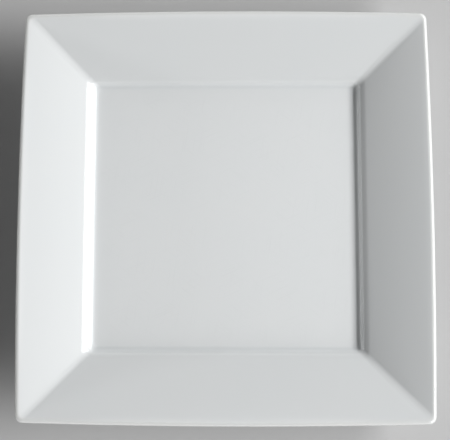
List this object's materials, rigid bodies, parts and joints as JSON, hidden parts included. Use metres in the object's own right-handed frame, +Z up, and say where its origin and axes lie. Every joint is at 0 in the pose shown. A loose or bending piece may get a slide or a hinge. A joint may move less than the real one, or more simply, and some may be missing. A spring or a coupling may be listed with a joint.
{
  "type": "square dinner plate",
  "caption": "Square dinner plate in white glazed porcelain: flat square well, short steep verge, broad sloping rim with mitred corners, rolled lip and bare square foot ring.",
  "frame": {"origin": "centre of the plate, on the plane that its foot ring stands on", "axes": "+Z up out of the well; X and Y square to the plate's sides"},
  "size_m": [0.27, 0.27, 0.028],
  "materials": {
    "porcelain": "matte",
    "glaze": "gloss"
  },
  "bodies": {
    "root": {"porcelain_body": "porcelain", "outer_glaze": "glaze", "base_glaze": "glaze"}
  },
  "joints": []
}
